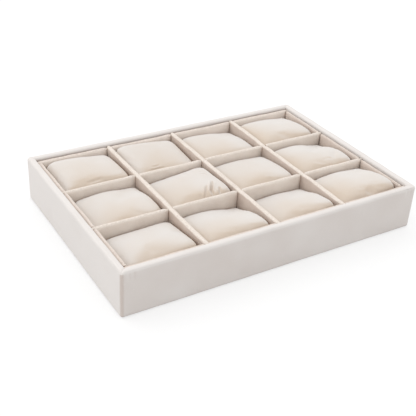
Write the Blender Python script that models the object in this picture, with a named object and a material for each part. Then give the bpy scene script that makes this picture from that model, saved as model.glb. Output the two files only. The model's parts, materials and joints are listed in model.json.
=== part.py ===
"""Watch display tray: velvet-wrapped boards, a lined inside, crossed dividers and one pillow in each cell.

A standalone Blender 4.5 model in metres. +Z is up, +X runs along the tray's long side, -Y is the front,
and the origin is the centre of the underside. Pieces that touch keep FIT_GAP between their meshes.
"""

import math
from dataclasses import dataclass

import bmesh
import bpy

# Outer size of the tray
TRAY_LENGTH = 0.350
TRAY_WIDTH = 0.238
TRAY_HEIGHT = 0.051
CORNER_RADIUS = 0.0032
RIM_RADIUS = 0.0024

# Clearance between the meshes of pieces that touch
FIT_GAP = 0.0003

# Boards of the box
WALL_BOARD_THICK = 0.0049
BASE_BOARD_THICK = 0.0030

# Velvet wrapped over the walls, turned down inside and turned in underneath
VELVET_THICK = 0.0010
VELVET_DOWN_INSIDE = 0.022
VELVET_TURN_IN = 0.013
VELVET_BOTTOM_RADIUS = 0.0013

# Sheet glued under the box, a little smaller than it
BASE_COVER_THICK = 0.0005
BASE_COVER_INSET = 0.0030

# Lining of the inside: a covered floor card, and a covered panel on the wall of each outer cell
FLOOR_LINING_THICK = 0.0015
LINER_THICK = 0.0050
LINER_BELOW_RIM = 0.0026

# Crossed dividers, slotted into each other at half their height and reaching from wall to wall
DIVIDER_THICK = 0.0043
DIVIDER_BELOW_RIM = 0.0022

# How the room is shared between the cells, from the left and from the front
COLUMN_SHARES = (1.0, 1.0, 1.0, 1.0)
ROW_SHARES = (0.97, 1.04, 0.99)

# Pillows
PILLOW_SIDE_CLEARANCE = 0.0005
PILLOW_WAIST_HEIGHT = 0.0170
PILLOW_FOOT_SHARE = 0.80
PILLOW_WAIST_SQUARENESS = 16.0
PILLOW_LOWER_FULLNESS = 3.2

# How full the pillows' shoulders are, higher is fuller: they lean on their right and back walls, and only
# the front left corner slopes away gently
FULLNESS_LEFT = 3.0
FULLNESS_LEFT_BACK = 9.3
FULLNESS_RIGHT = 12.0
FULLNESS_FRONT = 2.6
FULLNESS_FRONT_RIGHT = 12.6
FULLNESS_BACK = 9.2

# Gathers where one pillow's cover is bunched into short folds, in front of its middle and to the right
GATHER_DEPTH = 0.0030
GATHER_PITCH = 0.0070
GATHER_COUNT = 3
GATHER_START_SHARE = 0.32
GATHER_ACROSS_SHARE = -0.36
GATHER_REACH = 0.015

# Dent where one pillow's back right corner is pushed in, in shares of its half length and half width
DENT_DEPTH = 0.0109
DENT_ALONG_SHARE = 0.77
DENT_ACROSS_SHARE = 0.76
DENT_REACH_SHARE = 0.57

# Facets of the round forms
CORNER_STEPS = 4
ROUND_STEPS = 4
EDGE_ROUND_STEPS = 2
PILLOW_POINTS_PER_SIDE = 7
GATHERED_POINTS_PER_SIDE = 10
PILLOW_UPPER_RINGS = 6
PILLOW_LOWER_RINGS = 3


@dataclass
class PillowForm:
    """How one pillow differs from its neighbours: its crown, how its top slopes and how square it is."""

    crown_below_rim: float = 0.0060
    rise_right: float = 0.0
    rise_back: float = -0.0030
    squareness: float = 3.8
    gathered: bool = False
    dented: bool = False


# Each pillow is stuffed by hand, so crowns differ by a few millimetres. Keys are (row from the front,
# column from the left).
PILLOW_FORMS = {
    (0, 0): PillowForm(crown_below_rim=0.0075, rise_right=0.0015, rise_back=-0.0049, squareness=4.9),
    (0, 1): PillowForm(crown_below_rim=0.0077, rise_right=0.0006, rise_back=-0.0050, squareness=4.5),
    (0, 2): PillowForm(crown_below_rim=0.0099, rise_right=0.0034, rise_back=-0.0050, squareness=5.0),
    (0, 3): PillowForm(crown_below_rim=0.0042, rise_right=0.0040, rise_back=-0.0030, squareness=2.7),
    (1, 0): PillowForm(crown_below_rim=0.0066, rise_right=0.0011, rise_back=-0.0028, squareness=2.7),
    (1, 1): PillowForm(crown_below_rim=0.0066, rise_right=0.0050, rise_back=-0.0016, gathered=True),
    (1, 2): PillowForm(crown_below_rim=0.0068, rise_right=0.0002, rise_back=-0.0029),
    (1, 3): PillowForm(crown_below_rim=0.0044, rise_right=0.0034, rise_back=-0.0003, dented=True),
    (2, 0): PillowForm(crown_below_rim=0.0013, rise_right=-0.0027, rise_back=-0.0008),
    (2, 1): PillowForm(crown_below_rim=0.0032, rise_right=-0.0036, rise_back=0.0022),
    (2, 2): PillowForm(crown_below_rim=0.0056, rise_right=-0.0030, rise_back=-0.0028),
    (2, 3): PillowForm(crown_below_rim=0.0017, rise_right=-0.0005, rise_back=-0.0026),
}

ROW_WORDS = ("front", "middle", "back")

# Levels, from the floor up
VELVET_UNDER = BASE_COVER_THICK + FIT_GAP
BOARD_UNDER = VELVET_UNDER + VELVET_THICK + FIT_GAP
BASE_BOARD_TOP = BOARD_UNDER + BASE_BOARD_THICK
FLOOR_LINING_UNDER = BASE_BOARD_TOP + FIT_GAP
FLOOR_TOP = FLOOR_LINING_UNDER + FLOOR_LINING_THICK
STANDING_LEVEL = FLOOR_TOP + FIT_GAP
BOARD_TOP = TRAY_HEIGHT - VELVET_THICK - FIT_GAP
LINER_TOP = TRAY_HEIGHT - LINER_BELOW_RIM
DIVIDER_TOP = TRAY_HEIGHT - DIVIDER_BELOW_RIM

# Distances inward from the tray's outer face
BOARD_INSET = VELVET_THICK + FIT_GAP
BOARD_INNER_INSET = BOARD_INSET + WALL_BOARD_THICK
RIM_WIDTH = BOARD_INNER_INSET + FIT_GAP + VELVET_THICK
LINER_INSET = RIM_WIDTH + FIT_GAP
LINER_INNER_INSET = LINER_INSET + LINER_THICK

# The room inside the liners, and the boards and cards that fill the floor
ROOM_LENGTH = TRAY_LENGTH - 2 * LINER_INNER_INSET
ROOM_WIDTH = TRAY_WIDTH - 2 * LINER_INNER_INSET
FLOOR_LENGTH = TRAY_LENGTH - 2 * (BOARD_INNER_INSET + FIT_GAP)
FLOOR_WIDTH = TRAY_WIDTH - 2 * (BOARD_INNER_INSET + FIT_GAP)

# Colours, roughness and metallic value of each material
MATERIAL_LOOKS = {
    "outer_velvet": ((0.745, 0.715, 0.680), 0.92, 0.0),
    "lining_velvet": ((0.640, 0.560, 0.475), 0.94, 0.0),
    "pillow_velvet": ((0.800, 0.720, 0.640), 0.90, 0.0),
    "fibreboard": ((0.420, 0.300, 0.190), 0.80, 0.0),
    "base_paper": ((0.560, 0.520, 0.470), 0.85, 0.0),
}


def clear_scene():
    """Remove every object of the open scene."""
    for scene_object in list(bpy.data.objects):
        bpy.data.objects.remove(scene_object)


def make_material(name):
    """Return the named material with its colour, roughness and metallic value."""
    colour, roughness, metallic = MATERIAL_LOOKS[name]
    material = bpy.data.materials.get(name) or bpy.data.materials.new(name)
    material.use_nodes = True
    shader = material.node_tree.nodes["Principled BSDF"]
    shader.inputs["Base Color"].default_value = (*colour, 1.0)
    shader.inputs["Roughness"].default_value = roughness
    shader.inputs["Metallic"].default_value = metallic
    return material


def finish_object(name, shape, material_name, smooth=True):
    """Turn a bmesh into a named object with its faces pointing out."""
    bmesh.ops.recalc_face_normals(shape, faces=shape.faces[:])
    mesh = bpy.data.meshes.new(name)
    shape.to_mesh(mesh)
    shape.free()
    if smooth:
        mesh.shade_smooth()
        mesh.set_sharp_from_angle(angle=math.radians(40))
    mesh.materials.append(make_material(material_name))
    made = bpy.data.objects.new(name, mesh)
    bpy.context.scene.collection.objects.link(made)
    return made


def rounded_rectangle(length, width, radius):
    """Points of a rectangle with round corners, anticlockwise, CORNER_STEPS + 1 for each corner."""
    points = []
    corners = ((1, 1, 0.0), (-1, 1, 0.5), (-1, -1, 1.0), (1, -1, 1.5))
    for side_x, side_y, start in corners:
        centre_x = side_x * (length / 2 - radius)
        centre_y = side_y * (width / 2 - radius)
        for step in range(CORNER_STEPS + 1):
            angle = math.pi * (start + 0.5 * step / CORNER_STEPS)
            points.append((centre_x + radius * math.cos(angle), centre_y + radius * math.sin(angle)))
    return points


def arc(centre, radius, start_degrees, end_degrees, steps):
    """Points of an arc in a section, from one angle to the other."""
    points = []
    for step in range(steps + 1):
        angle = math.radians(start_degrees + (end_degrees - start_degrees) * step / steps)
        points.append((centre[0] + radius * math.cos(angle), centre[1] + radius * math.sin(angle)))
    return points


def bridge_rings(shape, rings, closed):
    """Join rings of equally many vertices with quads, and the last ring to the first if closed."""
    pairs = list(zip(rings, rings[1:]))
    if closed:
        pairs.append((rings[-1], rings[0]))
    for lower, upper in pairs:
        count = len(lower)
        for index in range(count):
            following = (index + 1) % count
            shape.faces.new((lower[index], lower[following], upper[following], upper[index]))


def extruded_outline(outline, low, high):
    """A prism over a plan outline, from one level to the other."""
    shape = bmesh.new()
    bottom = [shape.verts.new((x, y, low)) for x, y in outline]
    top = [shape.verts.new((x, y, high)) for x, y in outline]
    bridge_rings(shape, [bottom, top], closed=False)
    shape.faces.new(list(reversed(bottom)))
    shape.faces.new(top)
    return shape


def round_top_edges(shape, level, radius):
    """Round every edge that lies in the plane of the given level."""
    edges = [edge for edge in shape.edges if all(abs(v.co.z - level) < 1e-6 for v in edge.verts)]
    bmesh.ops.bevel(shape, geom=edges, offset=radius, segments=EDGE_ROUND_STEPS, profile=0.5, affect="EDGES")


def make_base_cover():
    """Thin sheet under the box, which the tray stands on."""
    outline = rounded_rectangle(
        TRAY_LENGTH - 2 * BASE_COVER_INSET, TRAY_WIDTH - 2 * BASE_COVER_INSET, CORNER_RADIUS
    )
    finish_object("base_cover", extruded_outline(outline, 0.0, BASE_COVER_THICK), "base_paper")


def floor_sheet(low, high):
    """A rectangular sheet that fills the floor between the wall boards."""
    x, y = FLOOR_LENGTH / 2, FLOOR_WIDTH / 2
    return extruded_outline([(-x, -y), (x, -y), (x, y), (-x, y)], low, high)


def make_floor():
    """Board that closes the bottom, and the velvet-covered card on it."""
    board = floor_sheet(BOARD_UNDER, BASE_BOARD_TOP)
    finish_object("base_board", board, "fibreboard", smooth=False)
    lining = floor_sheet(FLOOR_LINING_UNDER, FLOOR_TOP)
    finish_object("floor_lining", lining, "lining_velvet", smooth=False)


def long_board_outline(side):
    """Plan of a front (side -1) or back (side 1) board, with its two outer corners rounded."""
    half_length = TRAY_LENGTH / 2 - BOARD_INSET
    outer = TRAY_WIDTH / 2 - BOARD_INSET
    inner = TRAY_WIDTH / 2 - BOARD_INNER_INSET
    radius = max(CORNER_RADIUS - BOARD_INSET, FIT_GAP)
    points = [(half_length, inner)]
    points += arc((half_length - radius, outer - radius), radius, 0, 90, CORNER_STEPS)
    points += arc((radius - half_length, outer - radius), radius, 90, 180, CORNER_STEPS)
    points.append((-half_length, inner))
    if side > 0:
        return points
    return [(x, -y) for x, y in reversed(points)]


def make_wall_boards():
    """Four wall boards: front and back run the full length, left and right fit between them."""
    edge_radius = max(RIM_RADIUS - BOARD_INSET, FIT_GAP)
    for name, side in (("front_board", -1), ("back_board", 1)):
        shape = extruded_outline(long_board_outline(side), BOARD_UNDER, BOARD_TOP)
        round_top_edges(shape, BOARD_TOP, edge_radius)
        finish_object(name, shape, "fibreboard")
    half_width = TRAY_WIDTH / 2 - BOARD_INNER_INSET - FIT_GAP
    outer = TRAY_LENGTH / 2 - BOARD_INSET
    inner = TRAY_LENGTH / 2 - BOARD_INNER_INSET
    for name, side in (("left_board", -1), ("right_board", 1)):
        low, high = sorted((side * inner, side * outer))
        outline = [(low, -half_width), (high, -half_width), (high, half_width), (low, half_width)]
        shape = extruded_outline(outline, BOARD_UNDER, BOARD_TOP)
        round_top_edges(shape, BOARD_TOP, edge_radius)
        finish_object(name, shape, "fibreboard")


def wrap_section():
    """Closed section of the velvet wrap as (inset, level): outside, over the rim, down inside and back."""
    inner_radius = max(RIM_RADIUS - VELVET_THICK, FIT_GAP)
    end_inside = TRAY_HEIGHT - VELVET_DOWN_INSIDE
    bottom_radius = VELVET_BOTTOM_RADIUS
    lower_inner_radius = max(bottom_radius - VELVET_THICK, FIT_GAP)
    upper = TRAY_HEIGHT - VELVET_THICK
    outside = [(VELVET_TURN_IN, VELVET_UNDER)]
    outside += arc((bottom_radius, VELVET_UNDER + bottom_radius), bottom_radius, 270, 180, EDGE_ROUND_STEPS)
    outside += arc((RIM_RADIUS, TRAY_HEIGHT - RIM_RADIUS), RIM_RADIUS, 180, 90, ROUND_STEPS)
    outside += arc((RIM_WIDTH - RIM_RADIUS, TRAY_HEIGHT - RIM_RADIUS), RIM_RADIUS, 90, 0, ROUND_STEPS)
    outside.append((RIM_WIDTH, end_inside))
    inner_face = RIM_WIDTH - VELVET_THICK
    inside = [(inner_face, end_inside)]
    inside += arc((inner_face - inner_radius, upper - inner_radius), inner_radius, 0, 90, ROUND_STEPS)
    inside += arc((VELVET_THICK + inner_radius, upper - inner_radius), inner_radius, 90, 180, ROUND_STEPS)
    floor = VELVET_UNDER + VELVET_THICK
    lower_centre = (VELVET_THICK + lower_inner_radius, floor + lower_inner_radius)
    inside += arc(lower_centre, lower_inner_radius, 180, 270, EDGE_ROUND_STEPS)
    inside.append((VELVET_TURN_IN, floor))
    return outside + inside


def make_outer_wrap():
    """One velvet sheet over all four walls, swept round the tray's plan."""
    shape = bmesh.new()
    rings = []
    for inset, level in wrap_section():
        radius = max(CORNER_RADIUS - inset, FIT_GAP)
        outline = rounded_rectangle(TRAY_LENGTH - 2 * inset, TRAY_WIDTH - 2 * inset, radius)
        rings.append([shape.verts.new((x, y, level)) for x, y in outline])
    bridge_rings(shape, rings, closed=True)
    finish_object("outer_wrap", shape, "outer_velvet")


def round_topped_strip(length, thick, low, high):
    """Strip along X whose section is flat below and half round on top."""
    radius = thick / 2
    section = [(-radius, low), (radius, low)]
    section += arc((0.0, high - radius), radius, 0, 180, 2 * ROUND_STEPS)
    shape = bmesh.new()
    ends = []
    for x in (-length / 2, length / 2):
        ends.append([shape.verts.new((x, y, z)) for y, z in section])
    bridge_rings(shape, ends, closed=False)
    shape.faces.new(ends[0])
    shape.faces.new(list(reversed(ends[1])))
    return shape


def place(made, x, y, quarter_turn):
    """Set an object down at a point of the plan, turned to run along Y if asked."""
    made.location = (x, y, 0.0)
    if quarter_turn:
        made.rotation_euler = (0.0, 0.0, math.pi / 2)


def cell_spans(shares, room):
    """Low and high edge of every cell along one side of the room, with a divider between neighbours."""
    free = room - (len(shares) - 1) * DIVIDER_THICK
    spans = []
    low = -room / 2
    for share in shares:
        high = low + free * share / sum(shares)
        spans.append((low, high))
        low = high + DIVIDER_THICK
    return spans


def divider_places(spans):
    """Middle of each divider along one side of the room."""
    return [high + DIVIDER_THICK / 2 for low, high in spans[:-1]]


def make_liner(name, low, high, across, quarter_turn):
    """One covered panel standing on the floor lining against a wall, from low to high along it."""
    shape = round_topped_strip(high - low, LINER_THICK, STANDING_LEVEL, LINER_TOP)
    panel = finish_object(name, shape, "lining_velvet")
    along = (low + high) / 2
    if quarter_turn:
        place(panel, across, along, quarter_turn)
    else:
        place(panel, along, across, quarter_turn)


def make_liners():
    """A covered panel on each wall of every outer cell: those in front and behind fill the corners."""
    middle_inset = LINER_INSET + LINER_THICK / 2
    offset_y = TRAY_WIDTH / 2 - middle_inset
    offset_x = TRAY_LENGTH / 2 - middle_inset
    columns = cell_spans(COLUMN_SHARES, ROOM_LENGTH)
    wall_face = TRAY_LENGTH / 2 - LINER_INSET
    for number, (low, high) in enumerate(columns, start=1):
        start = -wall_face if number == 1 else low + FIT_GAP
        end = wall_face if number == len(columns) else high - FIT_GAP
        make_liner(f"front_liner_{number}", start, end, -offset_y, quarter_turn=False)
        make_liner(f"back_liner_{number}", start, end, offset_y, quarter_turn=False)
    for number, (low, high) in enumerate(cell_spans(ROW_SHARES, ROOM_WIDTH), start=1):
        make_liner(f"left_liner_{number}", low + FIT_GAP, high - FIT_GAP, -offset_x, quarter_turn=True)
        make_liner(f"right_liner_{number}", low + FIT_GAP, high - FIT_GAP, offset_x, quarter_turn=True)


def cut_slots(divider, places, low, high):
    """Cut slots through a divider, across its length, wide enough for the one that crosses it."""
    width = DIVIDER_THICK + 2 * FIT_GAP
    for number, along in enumerate(places, start=1):
        shape = bmesh.new()
        bmesh.ops.create_cube(shape, size=1.0)
        bmesh.ops.scale(shape, vec=(width, 2 * DIVIDER_THICK, high - low), verts=shape.verts[:])
        bmesh.ops.translate(shape, vec=(along, 0.0, (high + low) / 2), verts=shape.verts[:])
        cutter = finish_object(f"slot_cutter_{divider.name}_{number}", shape, "lining_velvet", smooth=False)
        cutter.hide_render = True
        cutter.display_type = "WIRE"
        cutter.parent = divider
        cut = divider.modifiers.new(f"slot_{number}", "BOOLEAN")
        cut.operation = "DIFFERENCE"
        cut.solver = "EXACT"
        cut.object = cutter


def make_dividers():
    """Cross dividers run front to back, slotted below; long dividers run along the tray, slotted above."""
    half_level = (STANDING_LEVEL + DIVIDER_TOP) / 2
    overshoot = DIVIDER_THICK
    cross_places = divider_places(cell_spans(COLUMN_SHARES, ROOM_LENGTH))
    long_places = divider_places(cell_spans(ROW_SHARES, ROOM_WIDTH))
    cross_length = TRAY_WIDTH - 2 * LINER_INSET
    long_length = TRAY_LENGTH - 2 * LINER_INSET
    for number, x in enumerate(cross_places, start=1):
        shape = round_topped_strip(cross_length, DIVIDER_THICK, STANDING_LEVEL, DIVIDER_TOP)
        divider = finish_object(f"cross_divider_{number}", shape, "lining_velvet")
        cut_slots(divider, long_places, STANDING_LEVEL - overshoot, half_level + FIT_GAP / 2)
        place(divider, x, 0.0, quarter_turn=True)
    for number, y in enumerate(long_places, start=1):
        shape = round_topped_strip(long_length, DIVIDER_THICK, STANDING_LEVEL, DIVIDER_TOP)
        divider = finish_object(f"long_divider_{number}", shape, "lining_velvet")
        cut_slots(divider, cross_places, half_level - FIT_GAP / 2, DIVIDER_TOP + overshoot)
        place(divider, 0.0, y, quarter_turn=False)


def square_directions(points_per_side):
    """Evenly spaced points round the edge of a square of half side 1, anticlockwise."""
    directions = []
    for corner, run in (((1, -1), (0, 1)), ((1, 1), (-1, 0)), ((-1, 1), (0, -1)), ((-1, -1), (1, 0))):
        for step in range(points_per_side):
            share = 2 * step / points_per_side
            directions.append((corner[0] + run[0] * share, corner[1] + run[1] * share))
    return directions


def squared_ring(directions, half_length, half_width, squareness):
    """Points of a superellipse ring in each of the given directions."""
    ring = []
    for x, y in directions:
        reach = (abs(x) ** squareness + abs(y) ** squareness) ** (-1 / squareness)
        ring.append((half_length * x * reach, half_width * y * reach))
    return ring


def between(first, second, share):
    """A value part of the way from one number to another."""
    return first + (second - first) * share


def shoulder_fullness(x, y):
    """Fullness along and across the pillow in a direction of the plan, given on a square of half side 1."""
    right_share = 0.5 + 0.5 * x
    back_share = 0.5 + 0.5 * y
    left = between(FULLNESS_LEFT, FULLNESS_LEFT_BACK, back_share**2)
    front = between(FULLNESS_FRONT, FULLNESS_FRONT_RIGHT, right_share**3)
    return between(left, FULLNESS_RIGHT, right_share), between(front, FULLNESS_BACK, back_share)


def dent_depth(x, y):
    """How far the dented top is sunk at a point given in shares of the half length and half width."""
    distance = math.hypot(x - DENT_ALONG_SHARE, y - DENT_ACROSS_SHARE)
    return DENT_DEPTH * math.exp(-((distance / DENT_REACH_SHARE) ** 2))


def gather_pull(x, y, half_length, half_width):
    """How far the cover dips at a point of the plan, where it is bunched into short folds."""
    start = half_length * GATHER_START_SHARE
    bunch_half = GATHER_COUNT * GATHER_PITCH / 2
    fade = max(0.0, 1 - abs(x - start - bunch_half) / (bunch_half + GATHER_PITCH / 2))
    offset = (y - half_width * GATHER_ACROSS_SHARE) / GATHER_REACH
    wave = 0.5 - 0.5 * math.cos(2 * math.pi * (x - start) / GATHER_PITCH)
    return GATHER_DEPTH * fade * math.exp(-(offset**2)) * wave


def pillow_shape(form, half_length, half_width):
    """A crowned cushion: full at its waist, drawn in towards its foot, with a top that may slope."""
    foot = STANDING_LEVEL
    waist = foot + PILLOW_WAIST_HEIGHT
    crown = TRAY_HEIGHT - form.crown_below_rim
    points_per_side = GATHERED_POINTS_PER_SIDE if form.gathered else PILLOW_POINTS_PER_SIDE
    directions = square_directions(points_per_side)
    shape = bmesh.new()

    rings = []
    for number in range(PILLOW_LOWER_RINGS + 1):
        turn = math.pi / 2 * number / PILLOW_LOWER_RINGS
        reach = PILLOW_FOOT_SHARE + (1 - PILLOW_FOOT_SHARE) * math.sin(turn) ** (2 / PILLOW_LOWER_FULLNESS)
        drop = max(math.cos(turn), 0.0) ** (2 / PILLOW_LOWER_FULLNESS)
        ring = squared_ring(directions, half_length * reach, half_width * reach, PILLOW_WAIST_SQUARENESS)
        level = waist - (waist - foot) * drop
        rings.append([shape.verts.new((x, y, level)) for x, y in ring])

    for number in range(1, PILLOW_UPPER_RINGS + 1):
        turn = math.pi / 2 * number / (PILLOW_UPPER_RINGS + 1)
        rise = math.sin(turn) ** (2 / PILLOW_LOWER_FULLNESS)
        squareness = between(PILLOW_WAIST_SQUARENESS, form.squareness, rise**4)
        vertices = []
        for direction, (x, y) in zip(directions, squared_ring(directions, 1.0, 1.0, squareness)):
            fullness_along, fullness_across = shoulder_fullness(*direction)
            x *= math.cos(turn) ** (2 / fullness_along)
            y *= math.cos(turn) ** (2 / fullness_across)
            height = crown - waist + form.rise_right * x + form.rise_back * y
            if form.gathered:
                height -= gather_pull(x * half_length, y * half_width, half_length, half_width)
            if form.dented:
                height -= dent_depth(x, y)
            vertices.append(shape.verts.new((x * half_length, y * half_width, waist + height * rise)))
        rings.append(vertices)

    bridge_rings(shape, rings, closed=False)
    shape.faces.new(list(reversed(rings[0])))
    top = shape.verts.new((0.0, 0.0, crown))
    last = rings[-1]
    for index in range(len(last)):
        shape.faces.new((last[index], last[(index + 1) % len(last)], top))
    return shape


def make_pillows():
    """One pillow in each cell, standing on the floor lining."""
    for row, (front, back) in enumerate(cell_spans(ROW_SHARES, ROOM_WIDTH)):
        row_word = ROW_WORDS[row]
        for column, (left, right) in enumerate(cell_spans(COLUMN_SHARES, ROOM_LENGTH)):
            form = PILLOW_FORMS.get((row, column), PillowForm())
            half_length = (right - left) / 2 - PILLOW_SIDE_CLEARANCE
            half_width = (back - front) / 2 - PILLOW_SIDE_CLEARANCE
            shape = pillow_shape(form, half_length, half_width)
            pillow = finish_object(f"pillow_{row_word}_{column + 1}", shape, "pillow_velvet")
            place(pillow, (left + right) / 2, (front + back) / 2, quarter_turn=False)


def make_tray():
    """Build every piece of the tray."""
    clear_scene()
    make_base_cover()
    make_wall_boards()
    make_outer_wrap()
    make_floor()
    make_liners()
    make_dividers()
    make_pillows()


make_tray()
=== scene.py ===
"""Watch display tray: velvet-wrapped boards, lined cells and stuffed pillows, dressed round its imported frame.

Metres throughout, in the frame's own axes: +X along the tray, +Y to its back, +Z up from the surface it
stands on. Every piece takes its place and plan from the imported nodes; the pillows' crowns and creases are
set here.
"""

import json
import math
from dataclasses import dataclass, replace

import bmesh
import bpy
from mathutils import Matrix, Vector, noise


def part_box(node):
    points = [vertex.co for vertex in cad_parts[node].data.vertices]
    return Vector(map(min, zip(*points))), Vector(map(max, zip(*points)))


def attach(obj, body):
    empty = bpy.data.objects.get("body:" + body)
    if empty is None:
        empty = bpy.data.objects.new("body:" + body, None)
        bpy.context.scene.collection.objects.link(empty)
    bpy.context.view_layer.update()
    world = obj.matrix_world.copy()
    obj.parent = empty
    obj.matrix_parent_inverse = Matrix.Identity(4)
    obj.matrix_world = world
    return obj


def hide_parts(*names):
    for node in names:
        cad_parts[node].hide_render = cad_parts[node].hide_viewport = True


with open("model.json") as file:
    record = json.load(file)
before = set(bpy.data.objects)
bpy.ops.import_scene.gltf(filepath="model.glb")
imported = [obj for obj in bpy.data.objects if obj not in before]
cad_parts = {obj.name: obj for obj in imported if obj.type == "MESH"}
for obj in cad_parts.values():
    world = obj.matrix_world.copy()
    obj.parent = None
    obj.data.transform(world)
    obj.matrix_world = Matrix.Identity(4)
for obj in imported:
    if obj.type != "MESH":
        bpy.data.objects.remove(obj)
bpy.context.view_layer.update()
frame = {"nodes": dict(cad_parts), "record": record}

# Camera, fitted to the photograph's corners, rim and divider crossings; pixels of a 416 x 416 frame
PHOTO_SIDE = 416
FOCAL_PIXELS = 767.8
SENSOR_WIDTH = 36.0
CAMERA_AZIMUTH = -32.68
CAMERA_ELEVATION = 31.43
CAMERA_ROLL = 3.535
CAMERA_DISTANCE = 0.8612
CAMERA_TARGET = (-0.00604, 0.01129, 0.0)

# Light: an even room, brighter from the window's side
ROOM_LIGHT = 1.12
ROOM_GRADIENT = 0.22
WINDOW_SIDE = (-0.50, 0.72, 0.45)
WINDOW_PLACE = (-0.6, 0.80, 1.30)
WINDOW_SIZE = 0.9
WINDOW_POWER = 2.6

# Velvet: painted shade, from an ambient occlusion node, darkens the colour in crevices between pieces within
# this reach
CREVICE_SHADE_REACH = 0.0035
CREVICE_SHADE_SAMPLES = 8
VELVET_ROUGHNESS = 0.95
VELVET_SPECULAR = 0.1
SHEEN_ROUGHNESS = 0.45
FIBRE_HEIGHT = 0.0004

# Contrast of the masks, painted shade in crevices too, as the gain and the offset that a mask's own value gets
BRUSHED_CONTRAST = (2.2, -0.6)
TUFT_CONTRAST = (3.0, -1.0)
UNSHADED_CONTRAST = (3.0, -0.6)

# Light fibres, and small dark tufts on surfaces that face up; their scales are shares of the fibres' own
FLECK_SCALE_SHARE = 0.45
FLECK_LEAST = 0.62
FLECK_GAIN = 6.0
FLECK_LIGHTENING = 1.08
TUFT_SCALE_SHARE = 0.5
TUFT_DARKENING = 0.7
TUFT_FACING = (0.0, 0.0, 1.0)
TUFT_FACING_RANGE = (0.1, 0.8)

# How fast the painted shade patch toward a pillow's front fades along each side of its box
HOLLOW_SHADE_SCALE = (1.6, 1.45, 0.0)

# Hard finishes: a darker and a lighter colour, a texture scale, and a bump's strength and height
BOARD_COLOURS = ((0.30, 0.20, 0.12), (0.52, 0.39, 0.26))
BOARD_SPECK_SCALE = 700.0
BOARD_BUMP = (0.3, 0.0003)
BACKING_COLOURS = ((0.46, 0.42, 0.37), (0.60, 0.56, 0.50))
BACKING_WEAVE_SCALE = 450.0
BACKING_WEAVE_UNEVENNESS = 0.4
BACKING_BUMP = (0.35, 0.0002)

# Floor: the shade that lights the tray, the shade that the camera sees, and a glow only the camera sees
FLOOR_HALF_SIZE = 4.0
FLOOR_SHADE = (0.68, 0.68, 0.68)
FLOOR_SEEN_SHADE = (0.36, 0.36, 0.36)
FLOOR_GLOW = 0.60
WHITE = (1.0, 1.0, 1.0, 1.0)

# Smooth noise: how far a seed shifts it along each axis, and its gain
SEED_SHIFT = (17.3, -9.1, 4.7)
WAVE_GAIN = 1.6

# Velvet wrap over the walls
WRAP_THICK = 0.0010
WRAP_DOWN_INSIDE = 0.022
WRAP_TURN_IN = 0.013
RIM_WIDTH = 0.0075
RIM_OUTER_RADIUS = 0.0030
RIM_INNER_RADIUS = 0.0024
CORNER_RADIUS = 0.0034
BOTTOM_RADIUS = 0.0013
WRAP_WAVE = 0.00022
WRAP_WAVE_LENGTH = 0.034
MITRE_DEPTH = 0.0006
MITRE_WIDTH = 0.0011
TUCK_DEPTH = 0.00045
TUCK_WIDTH = 0.0012
TUCK_REACH = 0.013
TUCK_PLACES = (0.0085, 0.0125)

# Where folds and waves stop: distances below the rim's top and in from its edge, and a share of its radius
MITRE_DROP = 0.004
MITRE_LEAST_INSET = 0.0002
WAVE_RIM_SHARE = 0.3
RIM_WAVE_DROP = 0.003
WRAP_SEED = 1
RIM_SEED = 2

# How finely the wrap is drawn; corner places are distances from each end of a straight side
WRAP_LEAST_RADIUS = 0.0004
CORNER_STEPS = 8
BOTTOM_STEPS = 5
RIM_STEPS = 8
HIDDEN_STEPS = 3
OUTSIDE_STEP = 0.0022
INSIDE_STEP = 0.004
RIM_FLAT_SHARES = (0.42, 0.50, 0.58)
SIDE_STEP = 0.006
CORNER_PLACES = (
    0.0008, 0.0018, 0.003, 0.0045, 0.006, 0.0075, 0.009, 0.0105, 0.012, 0.0135, 0.0155, 0.018,
)
CORNER_PLACES_END = 0.022

# Velvet-covered strips: liner panels and dividers
STRIP_STEP = 0.0035
STRIP_WAVE = 0.00035
STRIP_WAVE_LENGTH = 0.030
STRIP_RIPPLE = 0.00018
PINNED_REACH = 0.012
CROSSING_DIP = 0.0006
CROSSING_REACH = 0.004
CROSSING_GAP = 0.0003
END_DEPTH = 0.0017
END_RUN = 0.0046
END_STEPS = 4
END_TIGHT = 0.35
END_SINK = 0.4
LINER_LEAN = 0.0024
LEAN_DEPTH = 0.018
BEAD_FULLNESS = 0.26
BEAD_DROP = 0.0020
BEAD_REACH = 0.0026
BEAD_SHIFT = 0.0006

# How finely a strip is drawn, and the lengths and seeds of its ripples and of its top's rise and fall
STRIP_LEVEL_STEP = 0.005
STRIP_TOP_STEPS = 12
STRIP_SHARP_DEGREES = 60
RIPPLE_LENGTH = STRIP_WAVE_LENGTH / 3
RIPPLE_STRETCH = 9
RIPPLE_SEED_STEP = 5
LIFT_LENGTH = STRIP_WAVE_LENGTH * 0.6
LIFT_SEED_STEP = 9
LINER_SEED = 20
CROSS_SEED = 40
LONG_SEED = 50

# Pillows
POINTS_PER_SIDE = 12
LOWER_RINGS = 7
UPPER_RINGS = 16
WAIST_HEIGHT = 0.0170
FOOT_SHARE = 0.80
LOWER_FULLNESS = 3.2
WAIST_SQUARENESS = 16.0
FILLING_RISE = 0.0010
VOXEL = 0.0034
PRESSURE = 4.0
MOST_MOVE = 0.0016
SIM_FRAMES = 20

# Creases: how far up a surface has to face to take one, the puff beside it as a share of its depth, and how
# many of its own widths it acts over
CREASE_LEAST_UP = 0.2
CREASE_PUFF = 0.35
CREASE_SPAN = 4

# How finely a filled cover is worked out and then smoothed, plain or creased
CLOTH_QUALITY = 5
PLAIN_LEVELS = 1
CREASED_LEVELS = 2


@dataclass
class Stuffing:
    """How one pillow is filled: its crown's level, its top's tilt and squareness, its corner's dent."""

    crown: float
    rise_right: float
    rise_back: float
    squareness: float = 4.0
    dent: float = 0.0


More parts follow.
